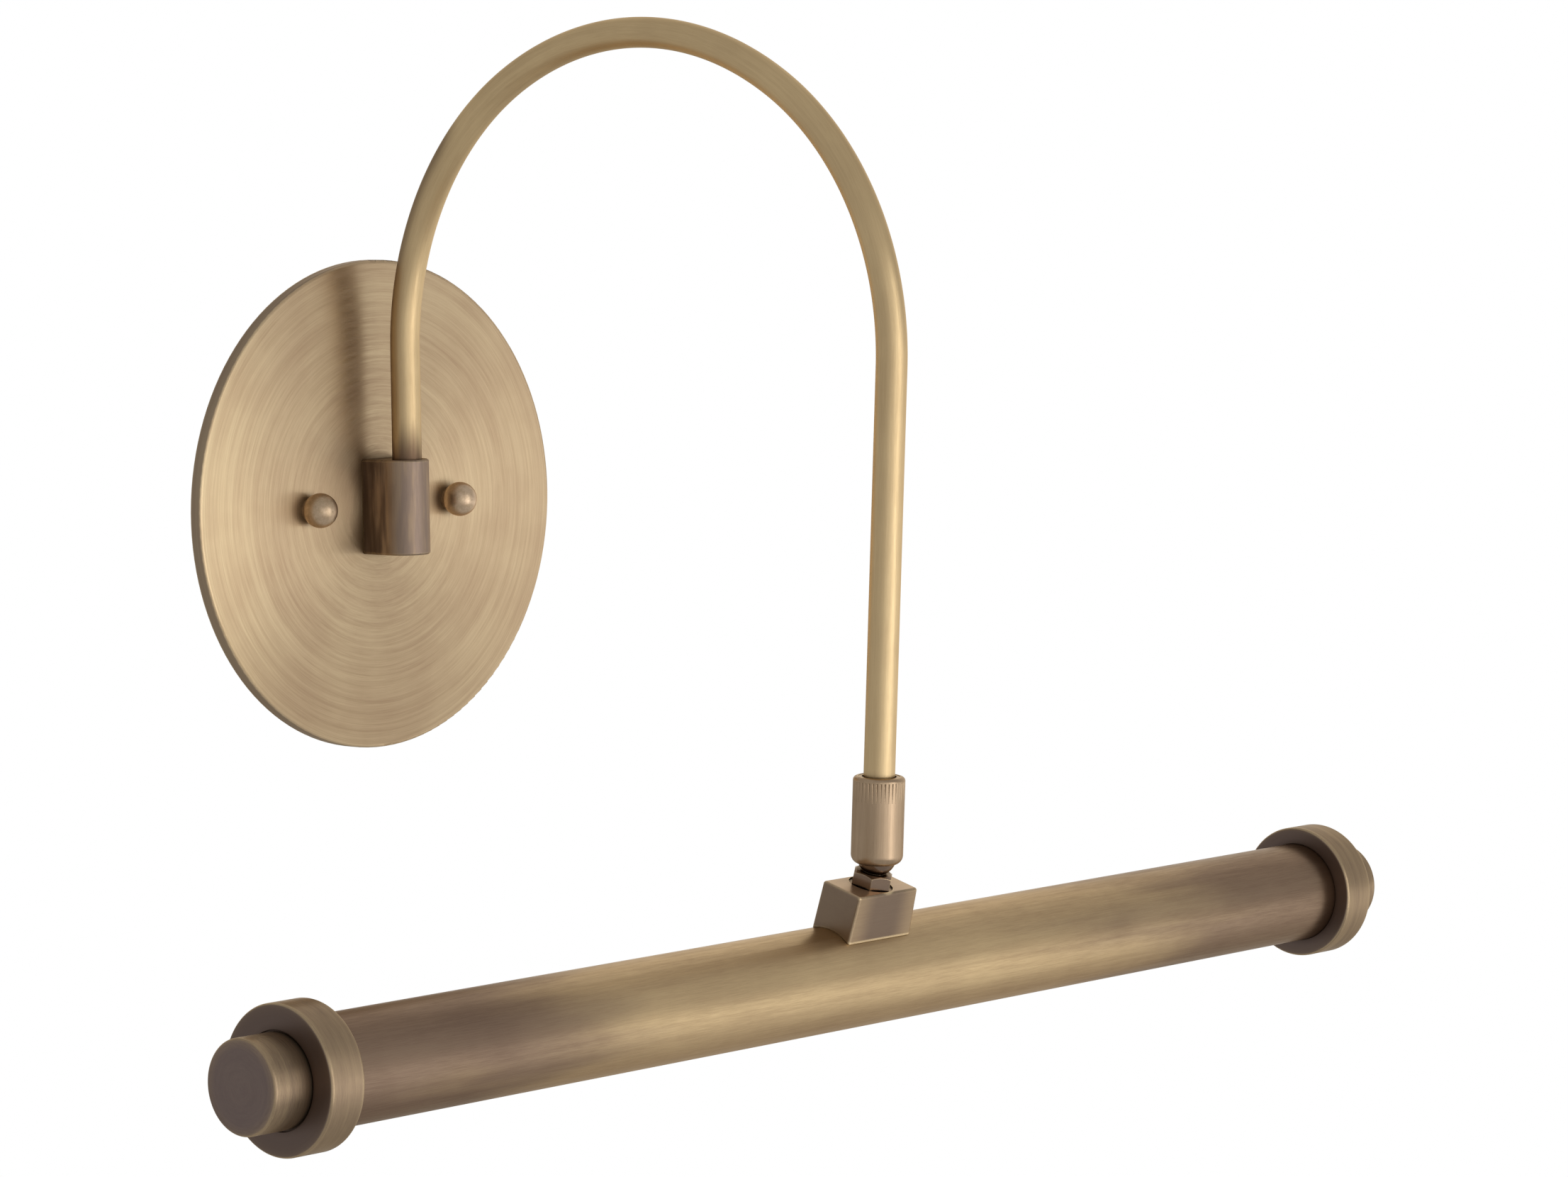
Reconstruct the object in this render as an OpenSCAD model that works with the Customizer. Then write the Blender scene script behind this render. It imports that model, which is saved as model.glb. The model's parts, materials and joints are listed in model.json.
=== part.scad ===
// Picture light with a round wall plate, a swan-neck arm and a tilting lamp tube.
// Origin: centre of the mounting bar on the wall plane. The wall is the plane y = 0,
// the light stands out along -Y, the lamp tube lies along X and +Z is up.

/* [Wall plate] */
// Diameter of the round wall plate
plate_d = 150; // [130:1:180]
// How far the plate's front stands off the wall
plate_depth = 4; // [3.8:0.1:6]
// Sheet thickness of the plate
plate_sheet = 1.2; // [0.8:0.1:1.2]
// Distance between the two ball nuts
nut_spacing = 60; // [56:1:64]
// Diameter of each ball nut
ball_nut_d = 10.6; // [9.5:0.1:12]

/* [Mounting bar] */
// Length of the bar behind the plate
bar_l = 104; // [100:1:120]
// Width of the bar
bar_w = 16; // [14:1:20]
// Centre distance of the two wall-screw slots
slot_spacing = 82; // [80:1:86]
// End-to-end length of each wall-screw slot
slot_l = 13; // [10:1:13]
// Width of each wall-screw slot
slot_w = 5; // [4:0.5:5.5]

/* [Arm] */
// Outer diameter of the arm tube
arm_d = 9.1; // [8:0.1:9.4]
// Wall thickness of the arm tube
arm_wall = 1; // [0.8:0.1:1.2]
// Distance from the wall to the axis of the upright arm leg
arm_axis_y = 16.2; // [15:0.1:17]
// Height at which the arm starts to bend
bend_start_z = 47.3; // [30:0.1:80]
// Bend radius of the inner shoulder, measured to the tube's axis
inner_bend_r = 93.5; // [80:0.1:110]
// Angle of the inner shoulder
inner_bend_angle = 62.6; // [50:0.1:70]
// Bend radius of the crown
crown_bend_r = 103.2; // [90:0.1:120]
// Angle of the crown
crown_bend_angle = 58.8; // [50:0.1:70]
// Bend radius of the outer shoulder
outer_bend_r = 89.1; // [80:0.1:110]
// Backward lean of the outer leg, in degrees
leg_lean = 3.1; // [0:0.1:8]
// Length of the outer leg from the bend to the ball's centre
leg_l = 140; // [100:1:160]
// Height of the socket block that holds the arm
socket_h = 29.1; // [28:0.1:36]
// Width of the socket block
socket_w = 15; // [15:0.1:18]
// Distance from the wall to the axis of the socket's rounded nose
nose_y = 15; // [14.5:0.1:16]

/* [Swivel] */
// Outer diameter of the swivel barrel
barrel_d = 15; // [14.8:0.1:17]
// Length of the swivel barrel
barrel_l = 25.4; // [24:0.1:30]
// Diameter of the ball
ball_d = 11.5; // [11.3:0.1:11.6]
// Number of knurl grooves around the barrel
knurl_count = 40; // [30:1:50]
// Width across the flats of the stem's hexagon
hex_af = 10.8; // [10:0.1:11.5]

/* [Lamp head] */
// Tilt of the head at rest, in degrees from upright
head_tilt = 16; // [0:1:24]
// Distance from the ball's centre to the lamp tube's axis
drop = 36.5; // [36:0.1:40]
// Outer diameter of the lamp tube
tube_d = 30.4; // [30:0.1:32]
// Wall thickness of the lamp tube
tube_wall = 1; // [0.8:0.1:1.2]
// Overall length of the head, over both end knobs
head_l = 480; // [400:1:600]
// Width of the light slot
light_slot_w = 12.4; // [11:0.1:13]
// Diameter of the end rings
ring_d = 40.5; // [36:0.5:46]
// Length of each end ring
ring_l = 12; // [10:0.5:16]
// Diameter of the end knobs
knob_d = 25.7; // [22:0.1:28]
// Length of each end knob
knob_l = 13; // [10:0.5:16]
// Number of light-emitting diodes on the board
led_count = 24; // [12:1:36]

/* [Hidden] */
$fn = 96;

slack = 0.05;                         // radial clearance between fitted pieces
bar_t = 1.5;                          // thickness of the mounting bar
bar_ring_r = 16;                      // radius of the bar's widened centre
bar_hole_r = 10;                      // wire hole in the bar's centre
stud_r = 2;                           // M4 studs
stud_reach = plate_depth + 7;         // distance from the wall to the stud's tip
nut_neck_r = 3.4;                     // neck between a ball nut and the plate
nut_stand = 4.9;                      // ball nut's centre in front of the plate
nipple_r = 5;                         // M10 nipple
nipple_bore_r = 3.5;                  // wire passage through the nipple
socket_r = socket_w / 2;
socket_top = 14.2;                    // height of the socket's upper face
socket_edge = 0.45;                   // chamfer on the socket's edges
arm_foot_z = 4.6;                     // height at which the arm ends inside the socket
arm_r = arm_d / 2;
bend_gap = 0.3;                       // straight between two bends
bend_lap = 1;                         // how far each straight runs on into the bends beside it
bend_step = 0.02;                     // the bends are this much thinner in radius
grub_r = 2;                           // M4 grub screw
grub_z = 9.6;                         // height of the grub screw
ball_r = ball_d / 2;
outer_bend_angle = 180 + leg_lean - inner_bend_angle - crown_bend_angle;
bends = [
    [inner_bend_r, inner_bend_angle], [crown_bend_r, crown_bend_angle],
    [outer_bend_r, outer_bend_angle]
];
leg_start = bend_end([arm_axis_y, bend_start_z], 90, 0);
ball_y = leg_start.x - leg_l * sin(leg_lean);
ball_z = leg_start.y - leg_l * cos(leg_lean);
hex_turn = 38;                        // turn of the stem's hexagon about its axis
barrel_r = barrel_d / 2;
barrel_low = -2.3;                    // barrel's lower face, from the ball's centre
barrel_high = barrel_low + barrel_l;
barrel_bore_r = 6;                    // M12 bore of the barrel
bush_low = 8.45;                      // underside of the arm's threaded bush
arm_end = 10.5;                       // lower end of the arm tube, from the ball's centre
liner_r = 6.3;                        // outer radius of the friction liner
lead_r = 3.6;                         // hole for the leads through the seat and liner
hex_high = -4.6;                      // upper face of the hexagon, from the ball's centre
stem_bore_r = 2.5;                    // hole for the leads through the stem
shank_r = 4;                          // M8 shank of the stem
saddle_top = -8.7;                    // upper face of the saddle block
saddle_recess = 0.5;                  // depth of the hexagon's seat in the saddle
saddle_edge = 0.8;                    // rounding of the saddle's edges
saddle_half_top = 12.8;               // half the saddle's length at its top
saddle_half_foot = 13.6;              // half the saddle's length at the tube
saddle_half_deep = 7.2;               // half the saddle's depth, front to back
recess_r = 6.4;                       // radius of the hexagon's seat
knurl_side = 0.36;                    // side of the square cutter that makes each groove
knurl_lean = 1.8;                     // lean of the cutter, which runs each groove out at its foot
knurl_l = 5.6;                        // length of a groove, down from the barrel's top rounding
shank_end = -29.3;                    // lower end of the shank
tube_r = tube_d / 2;
tube_bore_r = tube_r - tube_wall;
tube_end = head_l / 2 - knob_l - 4.6; // half length of the lamp tube
ring_out = head_l / 2 - knob_l;       // outer face of an end ring
light_slot_end = tube_end - 15.4;     // half length of the light slot
plug_l = 11.4;                        // length of each end plug
carrier_end = tube_end - plug_l + 5;  // half length of the aluminium carrier

brass = "#8f7650";
dark_brass = "#6b5640";
steel = "#9a9da1";
white = "#f1efe8";

// Local z runs from the wall into the room, local y is up.
module from_wall(distance = 0) {
    rotate([90, 0, 0]) translate([0, 0, distance]) children();
}

// Frame of the arm's outer leg: origin at the ball's centre, +z up the leg.
module leg_frame() {
    translate([0, -ball_y, ball_z]) rotate([leg_lean, 0, 0]) children();
}

// Frame of the lamp head: origin at the ball's centre, +z up the stem.
module head_frame() {
    translate([0, -ball_y, ball_z]) rotate([head_tilt, 0, 0]) children();
}

// Frame of the lamp tube: origin at the tube's middle, x along the tube, light slot below.
module tube_frame() {
    head_frame() translate([0, 0, -drop]) children();
}

// Local z runs along the lamp tube; side is 1 for the right end and -1 for the left end.
module tube_end_frame(side = 1) {
    tube_frame() rotate([0, side * 90, 0]) children();
}

// Straight bar along the lamp tube with a profile drawn in (y, z).
module along_tube(half_length) {
    tube_frame() rotate([90, 0, 90]) translate([0, 0, -half_length])
        linear_extrude(2 * half_length) children();
}

// Cylinder wall between two radii.
module tube(r_out, r_in, h) {
    difference() {
        cylinder(r = r_out, h = h);
        translate([0, 0, -1]) cylinder(r = r_in, h = h + 2);
    }
}

// Rectangle from (x0, y0) to (x1, y1) with its upper right corner rounded.
module one_round_corner(x0, y0, x1, y1, r) {
    square_from(x0, y0, x1 - r, y1);
    square_from(x0, y0, x1, y1 - r);
    translate([x1 - r, y1 - r]) circle(r);
}

module square_from(x0, y0, x1, y1) {
    translate([x0, y0]) square([x1 - x0, y1 - y0]);
}

module backplate() color(brass) from_wall() {
    rim = 1;
    difference() {
        rotate_extrude() difference() {
            one_round_corner(0, 0, plate_d / 2, plate_depth, rim);
            square_from(-1, -1, plate_d / 2 - plate_sheet, plate_depth - plate_sheet);
        }
        cylinder(r = nipple_r + 0.2, h = plate_depth + 1);
        for (side = [-1, 1])
            translate([side * nut_spacing / 2, 0, 0]) cylinder(r = stud_r + 0.3, h = plate_depth + 1);
    }
}

module mounting_bar() color(steel) from_wall() difference() {
    union() {
        translate([-bar_l / 2, -bar_w / 2, 0]) cube([bar_l, bar_w, bar_t]);
        cylinder(r = bar_ring_r, h = bar_t);
    }
    translate([0, 0, -1]) cylinder(r = bar_hole_r, h = bar_t + 2);
    for (side = [-1, 1]) {
        translate([side * nut_spacing / 2, 0, -1]) cylinder(r = stud_r + slack, h = bar_t + 2);
        translate([side * nut_spacing / 2, 0, -1]) cylinder(r = 3.5 + slack, h = 1.65);
        translate([side * slot_spacing / 2, 0, -1]) slot_hole();
    }
}

// Obround hole for a wall screw.
module slot_hole() {
    reach = slot_l / 2 - slot_w / 2;
    for (end = [-1, 1])
        translate([end * reach, 0, 0]) cylinder(d = slot_w, h = bar_t + 2);
    translate([-reach, -slot_w / 2, 0]) cube([2 * reach, slot_w, bar_t + 2]);
}

module bar_studs() color(steel) from_wall() for (side = [-1, 1])
    translate([side * nut_spacing / 2, 0, 0]) {
        cylinder(r = 3.5, h = 0.6);
        cylinder(r = stud_r, h = stud_reach);
    }

module ball_nuts() color(dark_brass) from_wall() for (side = [-1, 1])
    translate([side * nut_spacing / 2, 0, plate_depth]) difference() {
        union() {
            cylinder(r = nut_neck_r, h = nut_stand);
            intersection() {
                translate([0, 0, nut_stand]) sphere(d = ball_nut_d);
                translate([0, 0, 0.6]) cylinder(r = ball_nut_d, h = 2 * ball_nut_d);
            }
        }
        translate([0, 0, -1]) cylinder(r = stud_r + slack, h = 8.5);
    }

// Profile across the socket's chamfered edges: half width by height.
module socket_half_profile() {
    low = socket_top - socket_h;
    polygon([
        [0, low], [socket_r - socket_edge, low], [socket_r, low + socket_edge],
        [socket_r, socket_top - socket_edge], [socket_r - socket_edge, socket_top], [0, socket_top]
    ]);
}

module arm_socket() color(dark_brass) difference() {
    union() {
        translate([0, -nose_y, 0]) rotate([0, 0, 180])
            rotate_extrude(angle = 180) socket_half_profile();
        from_wall(plate_depth) linear_extrude(nose_y - plate_depth) {
            socket_half_profile();
            mirror([1, 0]) socket_half_profile();
        }
    }
    translate([0, -arm_axis_y, arm_foot_z]) cylinder(r = arm_r + slack, h = socket_h);
    translate([0, -arm_axis_y, -6]) cylinder(r = nipple_bore_r, h = socket_h);
    from_wall() cylinder(r = nipple_r + slack, h = 10.2);
    from_wall() cylinder(r = nipple_bore_r, h = arm_axis_y);
    translate([0, -arm_axis_y, grub_z]) rotate([0, 90, 0])
        cylinder(r = grub_r + slack, h = 2 * socket_r);
}

module socket_nipple() color(dark_brass) from_wall(0.4) tube(nipple_r, nipple_bore_r, 9.6);

module tooth_washer() color(steel) from_wall(plate_depth - plate_sheet - 0.5) difference() {
    tube(8, nipple_r + slack, 0.5);
    for (tooth = [0:11])
        rotate([0, 0, tooth * 30]) translate([6.9, -0.4, -1]) cube([2, 0.8, 3]);
}

module nipple_locknut() color(dark_brass) from_wall(plate_depth - plate_sheet - 2.1) difference() {
    cylinder(r = 14 / sqrt(3), h = 1.6, $fn = 6);
    translate([0, 0, -1]) cylinder(r = nipple_r + slack, h = 4);
}

module arm_grub_screw() color(steel) translate([arm_r + slack, -arm_axis_y, grub_z])
    rotate([0, 90, 0]) difference() {
        cylinder(r = grub_r, h = socket_r - arm_r - 0.25);
        translate([0, 0, 1.2]) cylinder(d = 2 * 2 / sqrt(3), h = 4, $fn = 6);
    }

// End of the bends from number i on, for a tube at point p that points at the given heading.
function bend_end(p, heading, i) = i == len(bends) ? p : bend_end(
    p + bend_gap * [cos(heading), sin(heading)] + bends[i][0] * [
        sin(heading) - sin(heading - bends[i][1]),
        cos(heading - bends[i][1]) - cos(heading)
    ], heading - bends[i][1], i + 1);

// Straights and bends in turn, from bend number i on; the tube starts at the origin along +y.
// The bends are drawn a hair thinner than the straights, so that no two surfaces only touch.
module swan_neck(radius, i = 0) {
    last = i == len(bends);
    straight_l = last ? leg_l - arm_end : bend_gap + bend_lap;
    translate([0, -bend_lap, 0]) rotate([-90, 0, 0])
        cylinder(r = radius, h = bend_lap + straight_l);
    if (!last) translate([bends[i][0], bend_gap, 0]) {
        rotate([0, 180, 0]) rotate_extrude(angle = bends[i][1])
            translate([bends[i][0], 0]) circle(radius - bend_step);
        rotate([0, 0, -bends[i][1]]) translate([-bends[i][0], 0, 0]) swan_neck(radius, i + 1);
    }
}

module arm_solid(radius) {
    translate([0, -arm_axis_y, bend_start_z]) rotate([90, 0, -90]) swan_neck(radius);
    translate([0, -arm_axis_y, arm_foot_z]) cylinder(r = radius, h = bend_start_z - arm_foot_z);
}

module arm_tube() color(brass) difference() {
    arm_solid(arm_r);
    arm_solid(arm_r - arm_wall);
}

module arm_bush() color(dark_brass) leg_frame() difference() {
    translate([0, 0, bush_low]) cylinder(r = barrel_bore_r - slack, h = barrel_high - bush_low - 0.1);
    translate([0, 0, arm_end]) cylinder(r = arm_r + slack, h = barrel_l);
    translate([0, 0, bush_low - 1]) cylinder(r = lead_r, h = barrel_l);
    translate([0, 0, barrel_high - 1.4]) cylinder(r = arm_r + 0.45, h = 3);
}

module disc_spring() color(steel) leg_frame() rotate_extrude()
    polygon([[5.8, 7.2], [5.8, 7.6], [3.9, 8.4], [3.9, 8.0]]);

module swivel_barrel() color(brass) leg_frame() difference() {
    low_round = 2.8;
    top_round = 1.2;
    rotate_extrude() {
        square_from(0, barrel_low, barrel_r - low_round, barrel_high);
        square_from(0, barrel_low + low_round, barrel_r, barrel_high - top_round);
        translate([barrel_r - low_round, barrel_low + low_round]) circle(low_round);
        square_from(0, barrel_high - 2, barrel_r - top_round, barrel_high);
        translate([barrel_r - top_round, barrel_high - top_round]) circle(top_round);
    }
    sphere(r = ball_r + 0.08);
    translate([0, 0, 0.8]) cylinder(r = barrel_bore_r, h = barrel_l);
    for (groove = [0:knurl_count - 1])
        rotate([0, 0, groove * 360 / knurl_count])
            translate([barrel_r, 0, barrel_high - top_round - 0.1]) rotate([0, -knurl_lean, 0])
                rotate([0, 0, 45]) translate([-knurl_side / 2, -knurl_side / 2, -knurl_l])
                    cube([knurl_side, knurl_side, knurl_l]);
}
module seat_ring() color(dark_brass) leg_frame() difference() {
    translate([0, 0, 2.9]) cylinder(r = barrel_bore_r - slack, h = 4.3);
    sphere(r = liner_r + slack);
    cylinder(r = lead_r, h = 10);
}

module ball_liner() color(white) leg_frame() difference() {
    intersection() {
        sphere(r = liner_r);
        translate([0, 0, 3.4]) cylinder(r = 8, h = 8);
    }
    sphere(r = ball_r + slack);
    cylinder(r = lead_r, h = 10);
}

module ball_stem() color(dark_brass) head_frame() difference() {
    union() {
        sphere(r = ball_r);
        intersection() {
            translate([0, 0, saddle_top - saddle_recess]) rotate([0, 0, hex_turn])
                cylinder(d = 2 * hex_af / sqrt(3), h = hex_high - saddle_top + saddle_recess, $fn = 6);
            translate([0, 0, hex_high - 12 * tan(30)])
                cylinder(r1 = 4.9 + 12, r2 = 4.9, h = 12 * tan(30));
        }
        translate([0, 0, shank_end]) cylinder(r = shank_r, h = saddle_top - shank_end);
    }
    translate([0, 0, shank_end - 1]) cylinder(r = stem_bore_r, h = 2 - shank_end);
    translate([0, 0, 0.9]) cylinder(r1 = stem_bore_r, r2 = 5, h = 5);
}

module saddle_block() color(dark_brass) head_frame() difference() {
    hull() for (side = [-1, 1], face = [-1, 1]) {
        out = face * (saddle_half_deep - saddle_edge);
        translate([side * (saddle_half_top - saddle_edge), out, saddle_top - saddle_edge])
            sphere(r = saddle_edge, $fn = 32);
        translate([side * (saddle_half_foot - saddle_edge), out, tube_r - drop - 2.6])
            cylinder(r = saddle_edge, h = 0.1, $fn = 32);
    }
    translate([0, 0, -drop]) rotate([0, 90, 0]) translate([0, 0, -20])
        cylinder(r = tube_r + 0.02, h = 40);
    translate([0, 0, saddle_top - saddle_recess]) cylinder(r = recess_r, h = 4);
    translate([0, 0, -drop]) cylinder(r = shank_r + 0.15, h = drop);
}

module saddle_washer() color(dark_brass) tube_frame() difference() {
    intersection() {
        translate([0, 0, 11.4]) cylinder(r = 7.5, h = 6);
        rotate([0, 90, 0]) translate([0, 0, -10]) cylinder(r = tube_bore_r - slack, h = 20);
    }
    cylinder(r = shank_r + 0.15, h = 20);
}

module stem_locknut() color(dark_brass) tube_frame() difference() {
    translate([0, 0, 8.2]) cylinder(d = 2 * 13 / sqrt(3), h = 3.2, $fn = 6);
    cylinder(r = shank_r + slack, h = 20);
}

module lamp_tube() color(brass) tube_frame() difference() {
    rotate([0, 90, 0]) translate([0, 0, -tube_end]) tube(tube_r, tube_bore_r, 2 * tube_end);
    translate([-light_slot_end, -light_slot_w / 2, -tube_r - 1])
        cube([2 * light_slot_end, light_slot_w, 6]);
    cylinder(r = shank_r + 0.15, h = 20);
}

// Plug inside the tube's end, slotted for the carrier and threaded for the knob.
module end_plug(side) color(dark_brass) difference() {
    tube_end_frame(side) translate([0, 0, tube_end - plug_l])
        tube(tube_bore_r - slack, shank_r + slack, plug_l);
    tube_frame() rotate([90, 0, 90]) translate([0, 0, -carrier_end - 0.1])
        linear_extrude(2 * carrier_end + 0.2) square_from(-15, -9.1, 15, -6.9);
}

module end_ring(side) color(brass) tube_end_frame(side) difference() {
    edge = 0.8;
    low = ring_out - ring_l;
    rotate_extrude() {
        one_round_corner(0, low + 2, ring_d / 2, ring_out, edge);
        translate([0, 2 * low + 4]) mirror([0, 1]) one_round_corner(0, low, ring_d / 2, low + 4, edge);
    }
    translate([0, 0, low - 1]) cylinder(r = tube_r + slack, h = tube_end + 0.1 - low + 1);
    translate([0, 0, low]) cylinder(r = shank_r + 0.15, h = ring_l + 1);
    translate([0, 0, ring_out - 0.6]) cylinder(r = knob_d / 2 + 0.45, h = 2);
}

module end_knob(side) color(dark_brass) tube_end_frame(side) {
    rotate_extrude() one_round_corner(0, ring_out - 0.6, knob_d / 2, head_l / 2, 0.9);
    translate([0, 0, tube_end - 10]) cylinder(r = shank_r, h = 15);
}

// Aluminium carrier: a floor for the board, and two side walls that hug the tube between the plugs.
module led_carrier() color("#c9ccd0") {
    along_tube(carrier_end) intersection() {
        circle(tube_bore_r - 0.1);
        square_from(-15, -9, 15, -7);
    }
    along_tube(tube_end - plug_l - 0.1) difference() {
        intersection() {
            circle(tube_bore_r - 0.1);
            square_from(-15, -7, 15, 3);
        }
        circle(tube_bore_r - 1.3);
    }
}

module led_board() color(white) along_tube(light_slot_end - 4) square_from(-5, -10.2, 5, -9);

module led_chips() color("#e8c84a") tube_frame() {
    pitch = 2 * (light_slot_end - 10) / (led_count - 1);
    for (led = [0:led_count - 1])
        translate([(led - (led_count - 1) / 2) * pitch - 1.5, -1.5, -10.8]) cube([3, 3, 0.6]);
}

// Opal strip: its face fills the slot and its two lips stay behind the tube's wall.
module diffuser() color(white) along_tube(light_slot_end - 0.2) difference() {
    union() {
        intersection() {
            circle(tube_r - 0.05);
            square_from(0.1 - light_slot_w / 2, -tube_r, light_slot_w / 2 - 0.1, -9);
        }
        intersection() {
            circle(tube_bore_r - slack);
            square_from(-8.4, -tube_r, 8.4, -9);
        }
    }
    circle(tube_r - 2.6);
}

module led_driver() color("#303236") tube_frame() translate([30, 0, -7])
    rotate([90, 0, 90]) linear_extrude(110)
        polygon([[-8, 0], [8, 0], [8, 10], [6, 12], [-6, 12], [-8, 10]]);

backplate();
mounting_bar();
bar_studs();
ball_nuts();
arm_socket();
socket_nipple();
tooth_washer();
nipple_locknut();
arm_grub_screw();
arm_tube();
arm_bush();
disc_spring();
swivel_barrel();
seat_ring();
ball_liner();
ball_stem();
saddle_block();
saddle_washer();
stem_locknut();
lamp_tube();
end_plug(-1);  // end_plug_left
end_plug(1);  // end_plug_right
end_ring(-1);  // end_ring_left
end_ring(1);  // end_ring_right
end_knob(-1);  // end_knob_left
end_knob(1);  // end_knob_right
led_carrier();
led_board();
led_chips();
diffuser();
led_driver();
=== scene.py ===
"""Looks of a wall picture light: aged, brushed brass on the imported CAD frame, in a white studio."""

import json
import math

import bpy
from mathutils import Euler, Matrix, Vector


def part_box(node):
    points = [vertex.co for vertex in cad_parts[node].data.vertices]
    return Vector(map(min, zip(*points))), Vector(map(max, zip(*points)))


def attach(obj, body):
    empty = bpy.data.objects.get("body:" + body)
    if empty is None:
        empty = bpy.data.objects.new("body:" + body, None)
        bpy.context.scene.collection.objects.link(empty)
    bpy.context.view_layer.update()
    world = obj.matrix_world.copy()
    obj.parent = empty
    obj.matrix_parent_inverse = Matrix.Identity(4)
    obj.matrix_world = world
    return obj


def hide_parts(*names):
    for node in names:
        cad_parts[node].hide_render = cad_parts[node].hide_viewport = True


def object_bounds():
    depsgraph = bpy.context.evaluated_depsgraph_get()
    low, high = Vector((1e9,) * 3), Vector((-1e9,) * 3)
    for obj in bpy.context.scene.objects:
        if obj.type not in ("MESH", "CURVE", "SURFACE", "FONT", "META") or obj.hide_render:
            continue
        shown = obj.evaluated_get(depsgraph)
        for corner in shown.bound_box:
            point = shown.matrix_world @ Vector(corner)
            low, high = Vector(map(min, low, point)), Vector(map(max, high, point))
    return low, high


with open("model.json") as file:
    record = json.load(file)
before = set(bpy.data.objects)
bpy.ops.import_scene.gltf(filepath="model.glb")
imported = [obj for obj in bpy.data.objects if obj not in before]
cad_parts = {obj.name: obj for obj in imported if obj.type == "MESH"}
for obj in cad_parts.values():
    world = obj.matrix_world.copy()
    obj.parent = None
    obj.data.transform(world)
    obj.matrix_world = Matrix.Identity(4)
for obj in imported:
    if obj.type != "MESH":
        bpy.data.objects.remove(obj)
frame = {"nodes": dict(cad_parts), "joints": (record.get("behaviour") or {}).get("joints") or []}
cad_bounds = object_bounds()
nodes = frame["nodes"]
joints = {joint["name"]: joint for joint in frame["joints"]}
MM = 0.001

# ---------------------------------------------------------------- places worked out from the frame
ball = Vector(joints["head_tilt"]["pos_m"])
leg_axis = Vector(joints["barrel_turn"]["axis"]).normalized()
tube_low, tube_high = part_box("lamp_tube")
tube_centre = (tube_low + tube_high) / 2
stem_axis = (ball - tube_centre).normalized()
head_lean = math.atan2(-stem_axis.y, stem_axis.z)
leg_lean = math.atan2(-leg_axis.y, leg_axis.z)
arm_low, arm_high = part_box("arm_tube")
arm_r = (arm_high.x - arm_low.x) / 2
arm_axis_y = arm_high.y - arm_r
socket_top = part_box("arm_socket")[1].z
TURN = {
    "x": Euler((0, math.radians(90), 0)).to_matrix(),
    "y": Euler((math.radians(90), 0, 0)).to_matrix(),
    "z": Matrix.Identity(3),
}


class Place:
    """A piece's own frame: its origin in the row frame, and the way its local z points."""

    def __init__(self, origin, lean=0.0, axis="z"):
        self.origin = Vector(origin)
        basis = Euler((lean, 0, 0)).to_matrix() @ TURN[axis]
        self.axis = basis @ Vector((0, 0, 1))
        self.to_local = (Matrix.Translation(self.origin) @ basis.to_4x4()).inverted()


WALL = Place((0, 0, 0), axis="y")
UPRIGHT = Place((0, arm_axis_y, 0))
LEG = Place(ball, leg_lean)
STEM = Place(ball, head_lean)
TUBE = Place(tube_centre, head_lean, "x")


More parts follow.
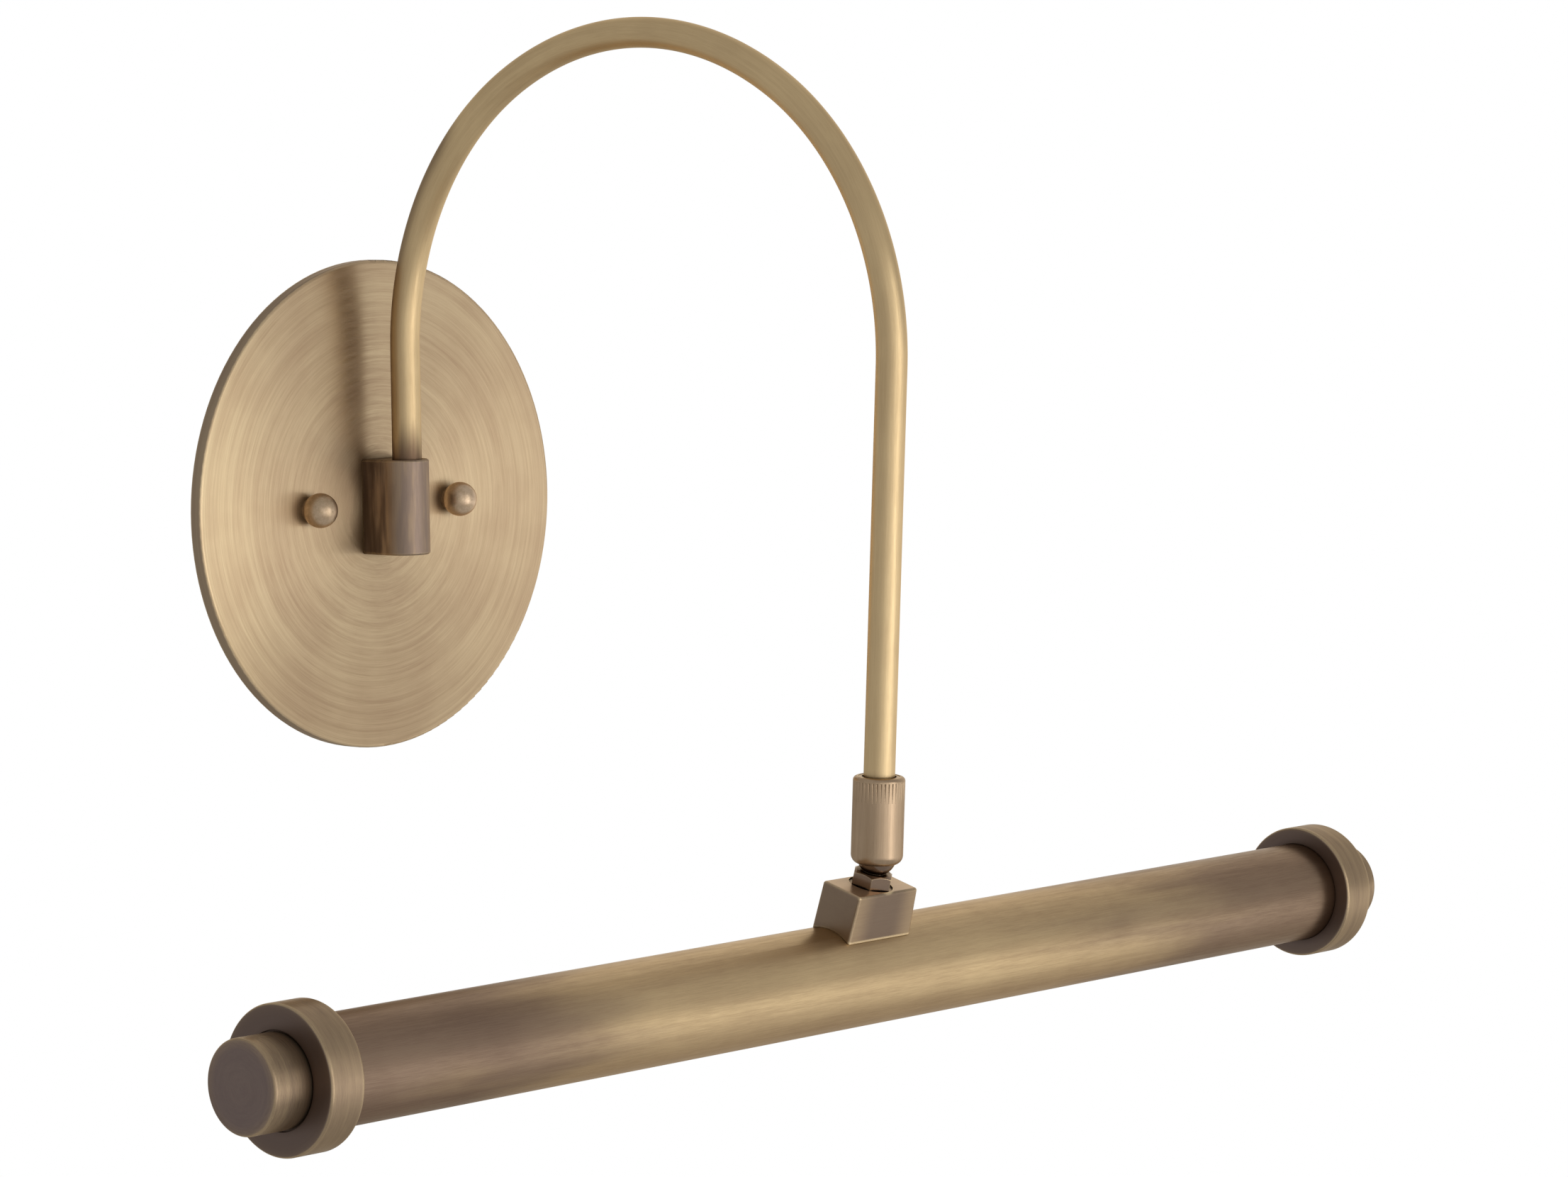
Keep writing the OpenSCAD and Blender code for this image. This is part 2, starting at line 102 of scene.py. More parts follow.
# ---------------------------------------------------------------- node trees
class Graph:
    """A node tree, emptied, with short calls for the nodes used here."""

    def __init__(self, tree):
        self.tree = tree
        self.tree.nodes.clear()

    def node(self, kind, inputs=None, **settings):
        made = self.tree.nodes.new("ShaderNode" + kind)
        for key, value in settings.items():
            setattr(made, key, value)
        for key, value in (inputs or {}).items():
            self.set(made.inputs[key], value)
        return made

    def set(self, socket, value):
        if isinstance(value, bpy.types.NodeSocket):
            self.tree.links.new(value, socket)
        else:
            socket.default_value = value

    def position(self):
        """The point on the piece, in metres, fixed to the piece."""
        return self.node("TexCoord").outputs["Object"]

    def normal(self):
        """The surface's direction, fixed to the piece, so that it holds when the piece moves."""
        return self.turned(self.node("NewGeometry").outputs["Normal"], "NORMAL", "WORLD", "OBJECT")

    def attribute(self, name):
        return self.node("Attribute", attribute_name=name).outputs["Vector"]

    def turned(self, vector, kind, source, target):
        spaces = {"convert_from": source, "convert_to": target}
        return self.node("VectorTransform", {0: vector}, vector_type=kind, **spaces).outputs[0]

    def math(self, operation, first, second=0.0):
        return self.node("Math", {0: first, 1: second}, operation=operation).outputs[0]

    def weigh(self, first, second, share):
        """The sum of two values, where the second has this share and the first has the rest."""
        first = self.math("MULTIPLY", first, 1.0 - share)
        return self.math("ADD", first, self.math("MULTIPLY", second, share))

    def vector(self, operation, first, second=(0.0, 0.0, 0.0)):
        made = self.node("VectorMath", {0: first, 1: second}, operation=operation)
        return made.outputs["Value" if operation in ("LENGTH", "DOT_PRODUCT") else "Vector"]

    def split(self, vector):
        return self.node("SeparateXYZ", {0: vector}).outputs

    def join(self, x, y, z):
        return self.node("CombineXYZ", {0: x, 1: y, 2: z}).outputs[0]

    def noise(self, vector, scale, detail, rough):
        """Noise of about 0.5, with this many waves in a metre of the vector."""
        inputs = {"Vector": vector, "Scale": scale, "Detail": detail, "Roughness": rough}
        return self.node("TexNoise", inputs).outputs["Fac"]

    def occlusion(self, distance, samples, inside=False):
        """Openness around a point, 1 where nothing is near: the air, or with inside, the metal."""
        made = self.node("AmbientOcclusion", {"Distance": distance}, samples=samples, inside=inside)
        return made.outputs["AO"]

    def range(self, value, low, high, new_low=0.0, new_high=1.0, smooth=True):
        """The value carried from one range to another, and held at the new range's ends."""
        names = ["Value", "From Min", "From Max", "To Min", "To Max"]
        made = self.node("MapRange", dict(zip(names, [value, low, high, new_low, new_high])))
        if smooth:
            made.interpolation_type = "SMOOTHSTEP"
        return made.outputs[0]

    def blend(self, factor, first, second, how="MIX"):
        made = self.node("Mix", data_type="RGBA", blend_type=how)
        self.set(made.inputs["Factor"], factor)
        self.set(made.inputs[6], first)
        self.set(made.inputs[7], second)
        return made.outputs[2]

    def relief(self, height, depth, strength, bevel):
        """The surface's direction with fine relief on it, and with its edges softened."""
        rounded = self.node("Bevel", {"Radius": bevel}, samples=6).outputs[0]
        inputs = {"Height": height, "Distance": depth, "Strength": strength, "Normal": rounded}
        return self.node("Bump", inputs).outputs[0]

    def finish(self, **inputs):
        names = {key.replace("_", " "): value for key, value in inputs.items()}
        shader = self.node("BsdfPrincipled", names)
        self.node("OutputMaterial", {"Surface": shader.outputs[0]})


def new_material(name):
    material = bpy.data.materials.new(name)
    material.use_nodes = True
    return material, Graph(material.node_tree)


# ---------------------------------------------------------------- colours
def colour(red, green, blue):
    return (red, green, blue, 1.0)


WHITE = colour(1.0, 1.0, 1.0)
# Brass, from bare metal to dirt, and a near black for painted shade.
BARE = colour(0.90, 0.71, 0.43)
WORN = colour(0.78, 0.60, 0.36)
STRAW = colour(0.72, 0.54, 0.30)
TAN = colour(0.72, 0.535, 0.30)
HAZEL_ROSE = colour(0.72, 0.54, 0.38)
PALE = colour(0.67, 0.515, 0.32)
KHAKI = colour(0.57, 0.415, 0.23)
GOLD = colour(0.56, 0.42, 0.25)
KHAKI_DIM = colour(0.54, 0.385, 0.22)
ROSE = colour(0.51, 0.36, 0.225)
HAZEL = colour(0.50, 0.365, 0.24)
SIDE = colour(0.43, 0.315, 0.195)
OCHRE = colour(0.36, 0.255, 0.165)
BROWN = colour(0.28, 0.195, 0.135)
UMBER_WARM = colour(0.22, 0.155, 0.11)
UMBER_COOL = colour(0.19, 0.145, 0.135)
UMBER = colour(0.155, 0.113, 0.095)
SEPIA = colour(0.14, 0.085, 0.055)
SHADE_DARK = colour(0.07, 0.045, 0.03)
# Tints: GLANCE is for reflections at a low angle, and the rest multiply a brass; the first of these paints
# a sheen of light on the plate, the second paints shade on the tube.
GLANCE = colour(0.88, 0.79, 0.67)
PAINTED_SHEEN = colour(1.16, 1.18, 1.16)
PAINTED_SHADE_TINT = colour(0.72, 0.68, 0.68)
UMBER_TUBE = colour(0.36, 0.33, 0.45)


# ---------------------------------------------------------------- aged, brushed brass
# Waves in a metre of the brushing's own coordinates, or of the piece for the broad patina.
FINE_GRAIN, MIDDLE_GRAIN, BAND_GRAIN, BROAD_PATINA = 5200.0, 900.0, 260.0, 38.0
SWEEP = 0.0009  # how far the grain of a turned face changes round its circles
STRETCH = 0.03  # how far lengthwise grain is drawn out along the piece
ON_AXIS = 0.00001  # keeps a division by the radius off zero
GRAIN_DEPTH, GRAIN_STRENGTH = 0.004 * MM, 0.35
SOFT_EDGE = 0.25 * MM
CORNER_REACH = 3.0 * MM
EDGE_SAMPLES, CORNER_SAMPLES = 8, 6
ROUGHER, GLOSSIER = 0.06, 0.05  # the roughness of the darkest and the lightest streaks


def turned_grain(graph, place, x, y, z):
    """Coordinates and direction of grain that runs in circles round the place's axis."""
    radius = graph.vector("LENGTH", graph.join(x, y, 0.0))
    radius = graph.math("MAXIMUM", radius, ON_AXIS)
    across = graph.math("ADD", radius, z)
    swept_x = graph.math("MULTIPLY", graph.math("DIVIDE", x, radius), SWEEP)
    swept_y = graph.math("MULTIPLY", graph.math("DIVIDE", y, radius), SWEEP)
    offset = graph.vector("SUBTRACT", graph.position(), place.origin)
    return graph.join(across, swept_x, swept_y), graph.vector("CROSS_PRODUCT", place.axis, offset)


def grain_space(graph, place, grain):
    """Coordinates in metres across the brushing, and the brushing's direction."""
    if grain == "attribute":
        return graph.attribute("grain_space"), graph.attribute("grain_along")
    if grain == "cast":
        position = graph.position()
        return position, position
    matrix = place.to_local
    inputs = {"Vector": graph.position(), "Location": matrix.translation, "Rotation": matrix.to_euler()}
    x, y, z = graph.split(graph.node("Mapping", inputs).outputs[0])
    if grain == "turned":
        return turned_grain(graph, place, x, y, z)
    along = graph.join(place.axis.x, place.axis.y, place.axis.z)
    return graph.join(x, y, graph.math("MULTIPLY", z, STRETCH)), along


def brushing(graph, space, streaks, coarse):
    """The brushing's streaks, from 0 to 1, and the middle grain that is in them."""
    fine = graph.noise(space, FINE_GRAIN, 4.0, 0.7)
    middle = graph.noise(space, MIDDLE_GRAIN, 3.0, 0.6)
    spread = 0.5 / (1 + 3 * streaks)
    mixed = graph.weigh(fine, middle, coarse)
    return graph.range(mixed, 0.5 - spread, 0.5 + spread, smooth=False), middle


def patina_tone(graph, space, streak):
    """How light the brass is, from 0 to 1: the streaks over an uneven patina."""
    contrast, bands_share, streaks_share = (0.36, 0.64), 0.4, 0.55
    broad = graph.noise(graph.position(), BROAD_PATINA, 3.0, 0.55)
    bands = graph.noise(space, BAND_GRAIN, 2.0, 0.5)
    patina = graph.range(graph.weigh(broad, bands, bands_share), *contrast)
    return graph.weigh(patina, streak, streaks_share)


def worn_edges(graph, base, worn, middle, open_air, edge, edge_width):
    """Lighter edges with a bare line along the sharpest part, but none next to another piece."""
    sharp, uneven, clear, most_worn = (0.92, 0.6), (0.3, 0.6, 0.6, 1.0), (0.6, 0.85), (0.55, 1.0)
    wear = graph.range(graph.occlusion(edge_width, EDGE_SAMPLES, inside=True), *sharp)
    wear = graph.math("MULTIPLY", wear, graph.range(middle, *uneven))
    wear = graph.math("MULTIPLY", wear, graph.range(open_air, *clear))
    base = graph.blend(graph.math("MULTIPLY", wear, edge), base, worn)
    bare = graph.math("MULTIPLY", graph.range(wear, *most_worn), edge * 0.9)
    return graph.blend(bare, base, BARE)


def brushed(
    name,
    place,
    grain,
    light,
    dark,
    worn,
    roughness,
    anisotropy,
    streaks,
    edge,
    edge_width,
    coarse=0.45,
    stain_and_painted_light=None,
    faces=None,
):
    """Aged brass: fine brushing, uneven patina, dirt and painted shade in the corners and between pieces,
    and lighter, worn edges.
    """
    corner_dirt_and_shade = (0.2, 0.85, 0.45, 1.0)
    material, graph = new_material(name)
    space, along = grain_space(graph, place, grain)
    streak, middle = brushing(graph, space, streaks, coarse)
    base = graph.blend(patina_tone(graph, space, streak), dark, light)
    # The given function adds stains, and on some pieces painted light and shade.
    if stain_and_painted_light:
        base = stain_and_painted_light(graph, base)
    open_air = graph.occlusion(CORNER_REACH, CORNER_SAMPLES)
    base = worn_edges(graph, base, worn, middle, open_air, edge, edge_width)
    if faces:
        base = faces(graph, base)
    # Dirt and painted shade: the colour is darkened where other metal is near, in corners and between
    # pieces.
    dirt_and_shade_factor = graph.range(open_air, *corner_dirt_and_shade)
    graph.finish(
        Base_Color=graph.blend(1.0, base, graph.join(dirt_and_shade_factor, dirt_and_shade_factor, dirt_and_shade_factor), "MULTIPLY"),
        Metallic=1.0,
        Specular_Tint=GLANCE,
        Roughness=graph.range(streak, 0.0, 1.0, roughness + ROUGHER, roughness - GLOSSIER, smooth=False),
        Anisotropic=anisotropy,
        Anisotropic_Rotation=0.25,
        Tangent=graph.turned(along, "VECTOR", "OBJECT", "WORLD"),
        Normal=graph.relief(streak, GRAIN_DEPTH, GRAIN_STRENGTH, SOFT_EDGE),
    )
    return material


# ---------------------------------------------------------------- where the patina is uneven, and where light and shade are painted
# In a pair of numbers a stain or a painted light or shade begins at the first and is full at the second.


def ragged(graph, value, space, scale, detail, spread, low=0.25):
    """The value, shifted in patches by up to the spread, so that a stain or painted shade has no clean
    edge.
    """
    patch = graph.noise(space, scale, detail, 0.5)
    return graph.math("ADD", value, graph.range(patch, low, 1.0 - low, -spread, spread))


def plate_stain_and_sheen(graph, base):
    """The plate's rolled rim is darker, and the face has a painted sheen of light on its left."""
    sheen_left, rim = (-40 * MM, -66 * MM), (0.75, 0.25)
    across = graph.split(graph.position())[0]
    # Painted sheen: the left part of the face is made lighter, where light falls on it.
    base = graph.blend(graph.range(across, *sheen_left), base, PAINTED_SHEEN, "MULTIPLY")
    facing = graph.math("ABSOLUTE", graph.split(graph.normal())[1])
    return graph.blend(graph.range(facing, *rim, 0.0, 0.65), base, UMBER)


def socket_stain_and_shade(graph, base):
    """The socket has painted shade against the plate, and is paler halfway out and cool brown on its nose.
    """
    halfway, nose, shade_at_plate = (-6 * MM, -17 * MM), (-17 * MM, -24 * MM), (-16 * MM, -5 * MM)
    position = graph.position()
    drawn_out = graph.vector("MULTIPLY", position, (1.0, 1.0, 0.15))
    depth = ragged(graph, graph.split(position)[1], drawn_out, 420.0, 2.0, 3.5 * MM)
    base = graph.blend(graph.range(depth, *halfway, 0.0, 0.45), base, HAZEL)
    base = graph.blend(graph.range(depth, *nose, 0.0, 0.5), base, UMBER_COOL)
    # Painted shade: nearly black where the socket meets the plate.
    return graph.blend(graph.range(depth, *shade_at_plate, 0.0, 0.85), base, SHADE_DARK)


def arm_browning(graph, base):
    """The arm's upright leg is browner above the socket and on its wall side."""
    upright = (arm_axis_y - 30 * MM, arm_axis_y - 20 * MM)
    above_socket, wall_side = (socket_top + 14 * MM, socket_top - 1 * MM), (-2.5 * MM, 2.5 * MM)
    depth, height = graph.split(graph.position())[1:3]
    space = graph.attribute("grain_space")
    height = ragged(graph, height, space, 600.0, 1.0, 2 * MM)
    low = graph.range(height, *above_socket, 0.0, 0.95)
    behind = graph.range(graph.split(space)[1], *wall_side, 0.0, 0.7)
    shade = graph.math("MAXIMUM", low, behind)
    return graph.blend(graph.math("MULTIPLY", shade, graph.range(depth, *upright)), base, SEPIA)


def saddle_stain_and_painted_light(graph, base):
    """The saddle is darker halfway along, has painted shade on its end faces, and a painted reflection
    makes its top paler.
    """
    middle, shaded_end_face, top = (12.5 * MM, 4 * MM), (0.7, 0.95), (0.75, 0.95)
    across = graph.math("ABSOLUTE", graph.split(graph.position())[0])
    base = graph.blend(graph.range(across, *middle, 0.0, 0.7), base, UMBER)
    facing = graph.split(graph.normal())
    # Painted shade on the end faces.
    base = graph.blend(graph.range(graph.math("ABSOLUTE", facing[0]), *shaded_end_face, 0.0, 0.55), base, UMBER)
    # Painted reflection: the top face is made paler.
    return graph.blend(graph.range(facing[2], *top, 0.0, 0.6), base, HAZEL_ROSE)


def tube_stain_and_shade(graph, base):
    """The lamp tube is browner towards its ends, in patches, and has painted shade above and below."""
    left_end, right_end = (-80 * MM, -190 * MM), (60 * MM, 165 * MM)
    above, below = (0.3, 0.8), (-0.15, -0.75)
    position = graph.position()
    drawn_out = graph.vector("MULTIPLY", position, (0.12, 1.0, 1.0))
    reach = ragged(graph, graph.split(position)[0], drawn_out, 90.0, 2.0, 25 * MM, low=0.3)
    left = graph.range(reach, *left_end, 0.0, 0.85)
    right = graph.range(reach, *right_end, 0.0, 0.8)
    base = graph.blend(graph.math("ADD", left, right), base, UMBER_TUBE, "MULTIPLY")
    up = graph.split(graph.normal())[2]
    # Painted shade: the tube's top and underside are made duller.
    painted_shade = graph.math("ADD", graph.range(up, *above, 0.0, 0.6), graph.range(up, *below, 0.0, 0.85))
    return graph.blend(painted_shade, base, PAINTED_SHADE_TINT, "MULTIPLY")


def face_darkening(place, tint, inner, inner_amount, outer, outer_amount):
    """Darker colour on the flat faces of a turned piece, with an amount at each of two radii."""
    flat_face = (0.8, 0.99)

    def stain(graph, base):
        facing = graph.math("ABSOLUTE", graph.vector("DOT_PRODUCT", graph.normal(), place.axis))
        offset = graph.vector("SUBTRACT", graph.position(), place.origin)
        radius = graph.vector("LENGTH", graph.vector("CROSS_PRODUCT", offset, place.axis))
        amount = graph.range(radius, inner, outer, inner_amount, outer_amount)
        return graph.blend(graph.math("MULTIPLY", graph.range(facing, *flat_face), amount), base, tint)

    return stain


# ---------------------------------------------------------------- the finishes
BRASSES = {
    "plate": dict(
        name="plate_brass", place=WALL, grain="turned", light=PALE, dark=ROSE, worn=WORN,
        roughness=0.38, anisotropy=0.7, streaks=1.4, edge=0.5, edge_width=0.7 * MM,
        stain_and_painted_light=plate_stain_and_sheen,
    ),
    "arm": dict(
        name="arm_brass", place=None, grain="attribute", light=STRAW, dark=KHAKI, worn=WORN,
        roughness=0.40, anisotropy=0.55, streaks=0.9, edge=0.0, edge_width=0.5 * MM,
        stain_and_painted_light=arm_browning,
    ),
    "barrel": dict(
        name="barrel_brass", place=LEG, grain="along", light=HAZEL, dark=OCHRE, worn=WORN,
        roughness=0.34, anisotropy=0.5, streaks=0.9, edge=0.5, edge_width=0.8 * MM,
    ),
    "tube": dict(
        name="tube_brass", place=TUBE, grain="along", light=TAN, dark=KHAKI_DIM, worn=WORN,
        roughness=0.34, anisotropy=0.7, streaks=1.6, edge=0.4, edge_width=0.8 * MM,
        stain_and_painted_light=tube_stain_and_shade, coarse=0.35,
    ),
    "socket": dict(
        name="socket_bronze", place=UPRIGHT, grain="along", light=BROWN, dark=UMBER, worn=GOLD,
        roughness=0.42, anisotropy=0.5, streaks=1.2, edge=0.8, edge_width=1.0 * MM,
        stain_and_painted_light=socket_stain_and_shade,
    ),
    "nuts": dict(
        name="nut_bronze", place=WALL, grain="cast", light=HAZEL_ROSE, dark=SIDE, worn=GOLD,
        roughness=0.38, anisotropy=0.0, streaks=1.2, edge=0.0, edge_width=1.6 * MM,
    ),
    "stem": dict(
        name="stem_bronze", place=STEM, grain="turned", light=BROWN, dark=UMBER, worn=GOLD,
        roughness=0.2, anisotropy=0.0, streaks=0.5, edge=0.6, edge_width=0.7 * MM,
    ),
    "saddle": dict(
        name="saddle_bronze", place=TUBE, grain="along", light=SIDE, dark=OCHRE, worn=WORN,
        roughness=0.36, anisotropy=0.5, streaks=0.6, edge=0.9, edge_width=0.9 * MM,
        stain_and_painted_light=saddle_stain_and_painted_light, coarse=0.2,
    ),
    "rings": dict(
        name="ring_bronze", place=TUBE, grain="turned", light=SIDE, dark=UMBER_WARM, worn=GOLD,
        roughness=0.38, anisotropy=0.4, streaks=0.6, edge=0.9, edge_width=1.9 * MM,
        faces=face_darkening(TUBE, UMBER, 16 * MM, 1.0, 21 * MM, 0.85),
    ),
    "knobs": dict(
        name="knob_bronze", place=TUBE, grain="turned", light=SIDE, dark=UMBER_WARM, worn=GOLD,
        roughness=0.38, anisotropy=0.4, streaks=1.3, edge=0.9, edge_width=1.5 * MM,
        faces=face_darkening(TUBE, UMBER_COOL, 9.5 * MM, 0.9, 12.5 * MM, 0.55),
    ),
}


def moulded(name, light, dark, metallic, roughness, scale, depth, **more):
    """A small works part: fine grain in its colour, gloss and surface."""
    contrast, broader = (0.35, 0.65), 14
    material, graph = new_material(name)
    position = graph.position()
    fine = graph.noise(position, scale, 3.0, 0.6)
    broad = graph.noise(position, scale / broader, 2.0, 0.5)
    tone = graph.range(graph.weigh(fine, broad, 0.4), *contrast)
    graph.finish(
        Base_Color=graph.blend(tone, dark, light),
        Metallic=metallic,
        Roughness=graph.range(fine, 0.3, 0.7, roughness + 0.07, roughness - 0.07),
        Normal=graph.relief(fine, depth, 0.5, 0.2 * MM),
        **more,
    )
    return material


WORKS_PARTS = {
    "zinc": dict(
        name="zinc_plate", light=colour(0.62, 0.64, 0.66), dark=colour(0.42, 0.44, 0.47),
        metallic=1.0, roughness=0.36, scale=1500.0, depth=0.01 * MM,
    ),
    "spring": dict(
        name="spring_steel", light=colour(0.45, 0.45, 0.46), dark=colour(0.25, 0.25, 0.26),
        metallic=1.0, roughness=0.3, scale=2500.0, depth=0.005 * MM,
    ),
    "acetal": dict(
        name="acetal_white", light=colour(0.80, 0.79, 0.75), dark=colour(0.72, 0.71, 0.67),
        metallic=0.0, roughness=0.42, scale=1800.0, depth=0.01 * MM,
    ),
    "carrier": dict(
        name="drawn_aluminium", light=colour(0.74, 0.75, 0.76), dark=colour(0.56, 0.57, 0.58),
        metallic=1.0, roughness=0.38, scale=1800.0, depth=0.01 * MM,
    ),
    "board": dict(
        name="board_white", light=colour(0.86, 0.87, 0.85), dark=colour(0.78, 0.79, 0.77),
        metallic=0.0, roughness=0.35, scale=2600.0, depth=0.01 * MM,
    ),
    "phosphor": dict(
        name="phosphor_yellow", light=colour(0.86, 0.66, 0.16), dark=colour(0.74, 0.52, 0.10),
        metallic=0.0, roughness=0.3, scale=4000.0, depth=0.01 * MM,
    ),
    "driver": dict(
        name="driver_case", light=colour(0.82, 0.82, 0.80), dark=colour(0.74, 0.74, 0.72),
        metallic=0.0, roughness=0.5, scale=2200.0, depth=0.03 * MM,
    ),
    "opal": dict(
        name="opal_acrylic", light=colour(0.90, 0.89, 0.85), dark=colour(0.84, 0.83, 0.79),
        metallic=0.0, roughness=0.32, scale=1200.0, depth=0.01 * MM,
        Subsurface_Weight=0.35, Subsurface_Radius=(4 * MM, 4 * MM, 4 * MM), IOR=1.49,
    ),
}

# The CAD nodes of each finish. The arm's finish goes on the swept tube below.
FINISH = {
    "plate": ["backplate"],
    "nuts": ["ball_nuts", "nipple_locknut", "socket_nipple"],
    "socket": ["arm_socket"],
    "barrel": ["swivel_barrel", "arm_bush", "seat_ring"],
    "stem": ["ball_stem", "stem_locknut", "saddle_washer"],
    "saddle": ["saddle_block"],
    "tube": ["lamp_tube"],
    "rings": ["end_ring_left", "end_ring_right", "end_plug_left", "end_plug_right"],
    "knobs": ["end_knob_left", "end_knob_right"],
    "zinc": ["mounting_bar", "bar_studs"],
    "spring": ["tooth_washer", "disc_spring", "arm_grub_screw"],
    "acetal": ["ball_liner"],
    "carrier": ["led_carrier"],
    "board": ["led_board"],
    "phosphor": ["led_chips"],
    "driver": ["led_driver"],
    "opal": ["diffuser"],
}

materials = {finish: brushed(**look) for finish, look in BRASSES.items()}
materials.update({finish: moulded(**look) for finish, look in WORKS_PARTS.items()})
for finish, names in FINISH.items():
    for name in names:
        nodes[name].data.materials.clear()
        nodes[name].data.materials.append(materials[finish])


# ---------------------------------------------------------------- the arm, as a swept tube
# Each bend's radius and angle. The last one takes what is left of the turn.
BENDS = [(93.5 * MM, math.radians(62.6)), (103.2 * MM, math.radians(58.8)), (89.1 * MM, None)]
BEND_START = 47.3 * MM  # height of the first bend
BEND_GAP = 0.3 * MM  # straight before each bend
BEND_STEPS = 64
SOCKET_DEPTH = 9.6 * MM
BALL_TO_ARM = 10.5 * MM
ARM_SEGMENTS = 64
ARM_THINNER = 0.03 * MM  # keeps the swept tube inside the CAD arm


def arm_path():
    """Points and headings of the arm's axis, from the socket round to the barrel, in (out, up)."""
    heading = math.pi / 2
    path = [(Vector((-arm_axis_y, socket_top - SOCKET_DEPTH)), heading)]
    point = Vector((-arm_axis_y, BEND_START))
    left = math.pi + leg_lean
    for radius, angle in BENDS:
        angle = angle or left
        left -= angle
        point += BEND_GAP * Vector((math.cos(heading), math.sin(heading)))
        centre = point + radius * Vector((math.sin(heading), -math.cos(heading)))
        for step in range(BEND_STEPS + 1):
            now = heading - angle * step / BEND_STEPS
            path.append((centre - radius * Vector((math.sin(now), -math.cos(now))), now))
        heading -= angle
        point = path[-1][0].copy()
    end = ball + leg_axis * BALL_TO_ARM
    path.append((Vector((-end.y, end.z)), heading))
    return path


def swept_points(path, radius):
    """Rings of points round the path, and for each the brushing's direction and coordinates."""
    points, along, space = [], [], []
    travelled, before = 0.0, path[0][0]
    side = Vector((1, 0, 0))
    for point, heading in path:
        travelled += (point - before).length
        before = point
        forward = Vector((0, -math.cos(heading), math.sin(heading)))
        centre = Vector((0, -point.x, point.y))
        other = forward.cross(side)
        for segment in range(ARM_SEGMENTS):
            turn = 2 * math.pi * segment / ARM_SEGMENTS
            points.append(centre + radius * (math.cos(turn) * side + math.sin(turn) * other))
            along.append(forward)
            space.append((radius * math.cos(turn), radius * math.sin(turn), travelled * STRETCH))
    return points, along, space


def ring_faces(rings):
    """Four-sided faces between each ring of points and the next."""
    faces = []
    for ring in range(rings - 1):
        for segment in range(ARM_SEGMENTS):
            a = ring * ARM_SEGMENTS + segment
            b = ring * ARM_SEGMENTS + (segment + 1) % ARM_SEGMENTS
            faces.append((a, b, b + ARM_SEGMENTS, a + ARM_SEGMENTS))
    return faces


def swept_tube(name, path, radius):
    """A round bar along the path, with the brushing's direction and coordinates kept on its mesh."""
    points, along, space = swept_points(path, radius)
    faces = ring_faces(len(path))
    last = len(points) - ARM_SEGMENTS
    for start, step in ((0, -1), (last, 1)):
        cap = len(points)
        for values in (points, along, space):
            values.extend(values[start : start + ARM_SEGMENTS])
        faces.append(tuple(range(cap, cap + ARM_SEGMENTS))[::step])
    mesh = bpy.data.meshes.new(name)
    mesh.from_pydata([tuple(point) for point in points], [], faces)
    mesh.shade_smooth()
    for key, values in (("grain_along", along), ("grain_space", space)):
        layer = mesh.attributes.new(key, "FLOAT_VECTOR", "POINT")
        layer.data.foreach_set("vector", [number for value in values for number in value])
    piece = bpy.data.objects.new(name, mesh)
    bpy.context.scene.collection.objects.link(piece)
    return piece


arm = swept_tube("arm_swan_neck", arm_path(), arm_r - ARM_THINNER)
arm.data.materials.append(materials["arm"])
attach(arm, "bracket")
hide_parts("arm_tube")


# ---------------------------------------------------------------- studio
BRIGHT_BACK = Vector((0.866, 0.5, 0.0))
BRIGHT_FLOOR = Vector((0.86, -0.5, 0.0))
BACK_DIM_UNTIL, FLOOR_DIM_UNTIL, BRIGHT_FROM = 0.5, 0.1, 0.95
DIM, BRIGHT = 0.5, 1.0
# The floor is far below, so that views from underneath still see the object.
FLOOR_Z, FLOOR_REACH, FLOOR_FADE = -4.0, 240.0, 11.7
# Azimuth and elevation in degrees, sizes and distance in metres, power in watts.
SOFTBOXES = {
    "key": dict(azimuth=14, elevation=-4, distance=1.6, width=0.6, height=1.6, power=3.6),
    "fill": dict(azimuth=-12, elevation=-2, distance=2.0, width=3.0, height=1.8, power=7.4),
}


def studio_light(graph, position, towards, dim_until):
    """Brightness of the white studio: dim on the object's left, full in the direction given."""
    facing = graph.vector("DOT_PRODUCT", position, towards)
    strength = graph.range(facing, dim_until, BRIGHT_FROM, DIM, BRIGHT)
    return graph.math("MAXIMUM", strength, graph.node("LightPath").outputs["Is Camera Ray"])


def studio_world():
    world = bpy.data.worlds.new("studio")
    world.use_nodes = True
    graph = Graph(world.node_tree)
    way = graph.node("TexCoord").outputs["Generated"]
    strength = studio_light(graph, way, BRIGHT_BACK, BACK_DIM_UNTIL)
    back = graph.node("Background", {"Color": WHITE, "Strength": strength})
    graph.node("OutputWorld", {"Surface": back.outputs[0]})
    bpy.context.scene.world = world


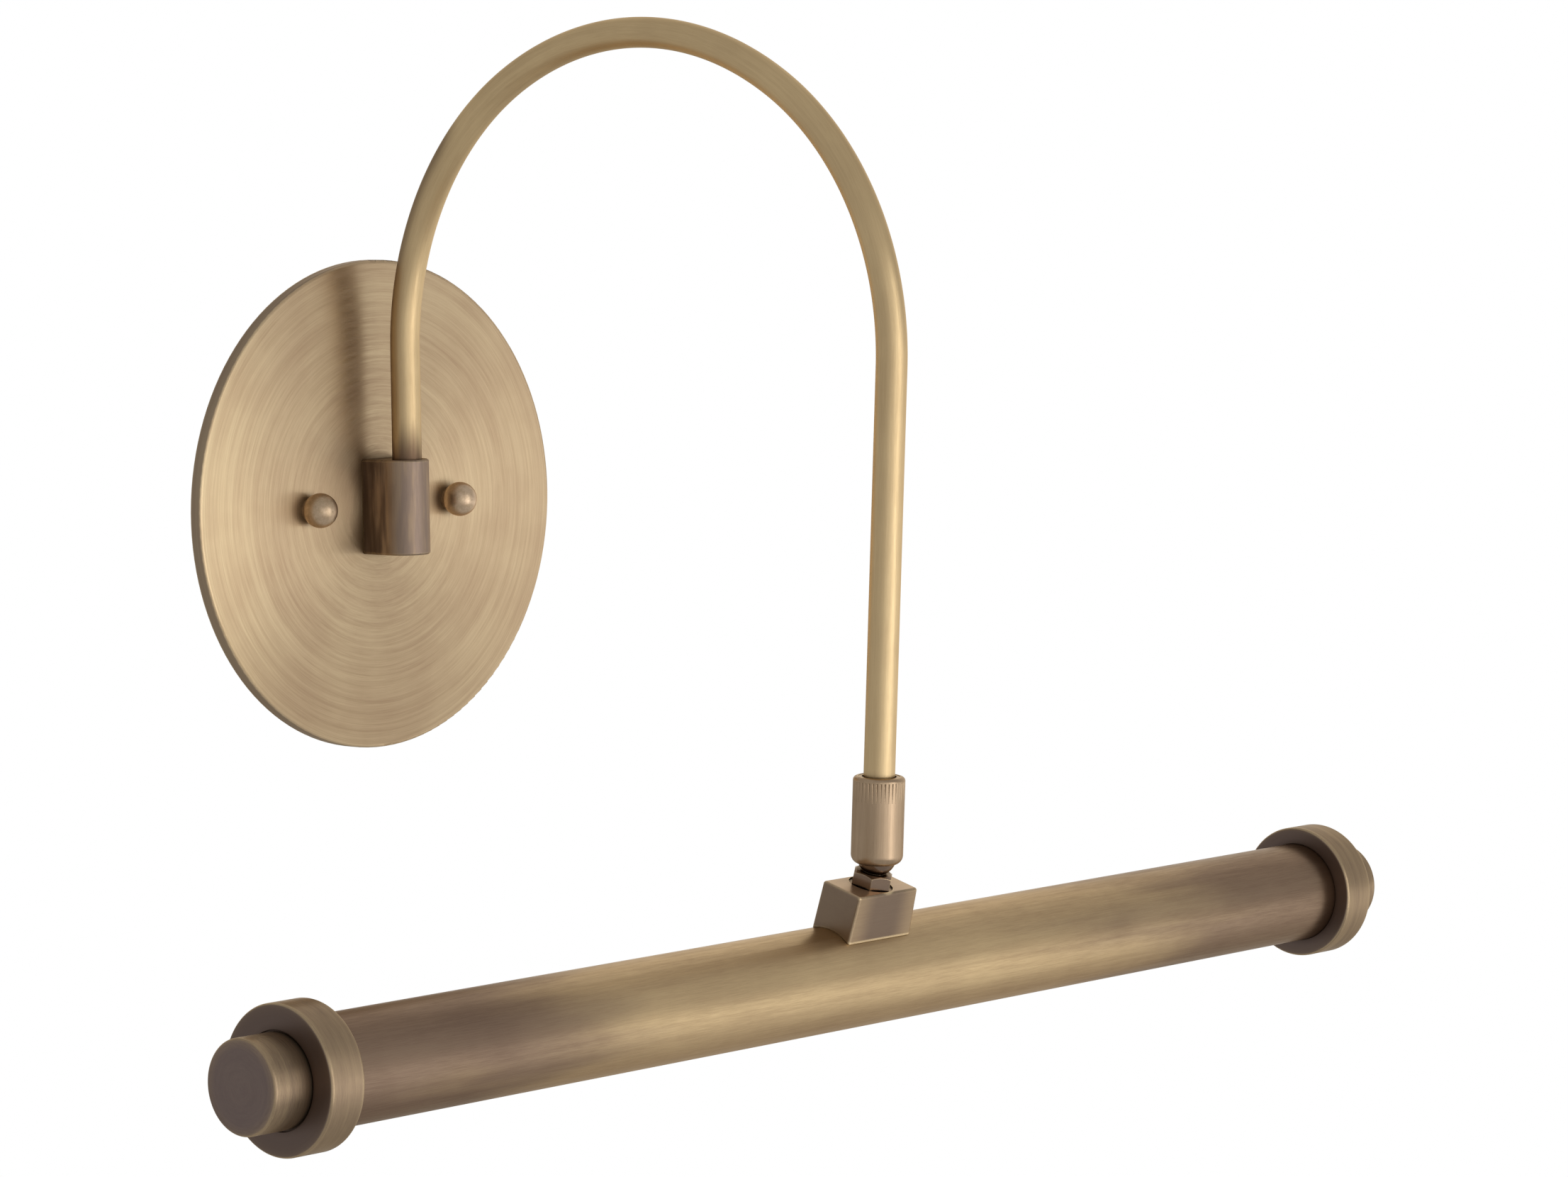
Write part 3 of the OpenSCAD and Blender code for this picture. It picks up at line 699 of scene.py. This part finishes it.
def studio_floor():
    corners = [(x * FLOOR_REACH, y * FLOOR_REACH, FLOOR_Z) for x, y in ((-1, -1), (1, -1), (1, 1), (-1, 1))]
    mesh = bpy.data.meshes.new("floor")
    mesh.from_pydata(corners, [], [(0, 1, 2, 3)])
    material, graph = new_material("floor_white")
    position = graph.node("NewGeometry").outputs["Position"]
    strength = studio_light(graph, position, BRIGHT_FLOOR / FLOOR_FADE, FLOOR_DIM_UNTIL)
    glow = graph.node("Emission", {"Color": WHITE, "Strength": strength})
    graph.node("OutputMaterial", {"Surface": glow.outputs[0]})
    mesh.materials.append(material)
    floor = bpy.data.objects.new("floor", mesh)
    bpy.context.scene.collection.objects.link(floor)


def direction(azimuth, elevation):
    """Unit vector towards a view direction: azimuth 0 is in front of the object, at -Y."""
    azimuth, elevation = math.radians(azimuth), math.radians(elevation)
    flat = math.cos(elevation)
    return Vector((math.sin(azimuth) * flat, -math.cos(azimuth) * flat, math.sin(elevation)))


def softbox(name, azimuth, elevation, distance, width, height, power):
    """A soft rectangular light, aimed at the middle of the object."""
    light = bpy.data.lights.new(name, "AREA")
    light.shape = "RECTANGLE"
    light.size, light.size_y = width, height
    light.energy = power
    lamp = bpy.data.objects.new(name, light)
    target = (cad_bounds[0] + cad_bounds[1]) / 2
    way = direction(azimuth, elevation)
    lamp.location = target + way * distance
    lamp.rotation_euler = way.to_track_quat("Z", "Y").to_euler()
    bpy.context.scene.collection.objects.link(lamp)


studio_world()
studio_floor()
for name, settings in SOFTBOXES.items():
    softbox(name, **settings)

# ---------------------------------------------------------------- camera
VIEW_AZIMUTH, VIEW_ELEVATION, ROLL = -48.55, 4.77, -0.74
CAMERA_PLACE = Vector((-1233.43, -1258.66, 118.82)) * MM
SENSOR_WIDTH_MM, FOCAL_LENGTH_MM = 36.0, 131.33
CLIP_END = 200.0
camera_data = bpy.data.cameras.new("camera")
camera_data.sensor_width = SENSOR_WIDTH_MM
camera_data.lens = FOCAL_LENGTH_MM
camera_data.clip_end = CLIP_END
camera = bpy.data.objects.new("camera", camera_data)
camera.location = CAMERA_PLACE
looking = direction(VIEW_AZIMUTH, VIEW_ELEVATION).to_track_quat("Z", "Y")
camera.rotation_euler = (looking.to_matrix() @ Matrix.Rotation(math.radians(ROLL), 3, "Z")).to_euler()
bpy.context.scene.collection.objects.link(camera)
bpy.context.scene.camera = camera
bpy.context.scene.view_settings.view_transform = "Standard"
